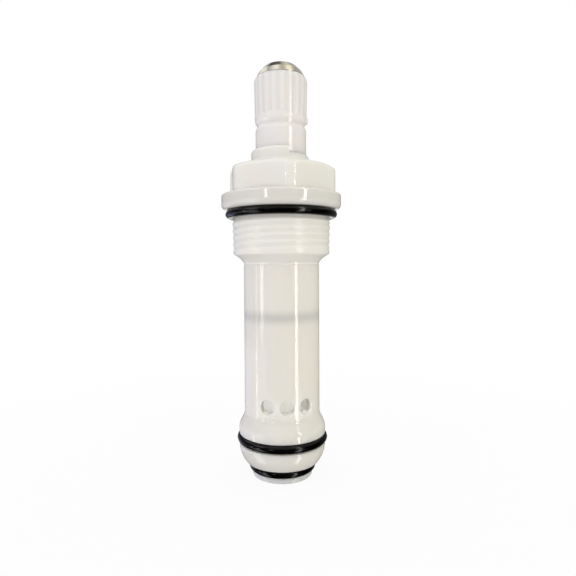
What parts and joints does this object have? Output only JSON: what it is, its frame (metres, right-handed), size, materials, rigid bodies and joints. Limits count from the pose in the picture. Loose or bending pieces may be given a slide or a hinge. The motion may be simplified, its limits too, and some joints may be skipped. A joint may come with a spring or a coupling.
{
  "type": "diverter stem",
  "caption": "Rising-spindle diverter stem: splined spindle with metal insert, hex-headed threaded bonnet with flange, ported tube, seat nose and seal rings.",
  "frame": {"origin": "centre of the nose's end face, on the stem's axis, the lowest point of the part", "axes": "+Z along the stem's axis from the nose to the splined end; -Y faces the viewer of the picture; +X is to its right"},
  "size_m": [0.0256, 0.0256, 0.0874],
  "materials": {
    "bonnet_plastic": "milky moulded acetal, satin gloss",
    "barrel_plastic": "milky translucent moulded acetal, glossy",
    "spindle_plastic": "milky moulded acetal with a warm tint",
    "plunger_plastic": "white moulded acetal",
    "seal_rubber": "black, wet-looking gloss",
    "washer_rubber": "black, dull",
    "insert_metal": "bright nickel plate",
    "steel": "plain stainless steel"
  },
  "bodies": {
    "housing": {"bonnet": "bonnet_plastic", "barrel": "barrel_plastic", "bonnet_o_ring": "seal_rubber", "nose_o_ring_large": "seal_rubber", "nose_o_ring_small": "seal_rubber", "barrel_seal_ring": "seal_rubber"},
    "plunger_set": {"plunger": "plunger_plastic", "piston_o_ring": "seal_rubber", "seat_washer": "washer_rubber", "washer_screw": "steel", "thrust_washer": "plunger_plastic"},
    "spindle_set": {"spindle": "spindle_plastic", "handle_screw_insert": "insert_metal", "spindle_o_ring_upper": "seal_rubber", "spindle_o_ring_lower": "seal_rubber", "swivel_clip": "steel"}
  },
  "joints": [
    {"name": "plunger_slide", "type": "slide", "parent": "housing", "child": "plunger_set", "axis": [0, 0, 1], "range_m": [-0.0056, 0]},
    {"name": "spindle_turn", "type": "hinge", "parent": "plunger_set", "child": "spindle_set", "pos_m": [0, 0, 0.0372], "axis": [0, 0, 1], "range_deg": [-420, 0]}
  ],
  "couplings": [
    {"joint": "plunger_slide", "follows": "spindle_turn", "m_per_rad": 0.00076394}
  ]
}
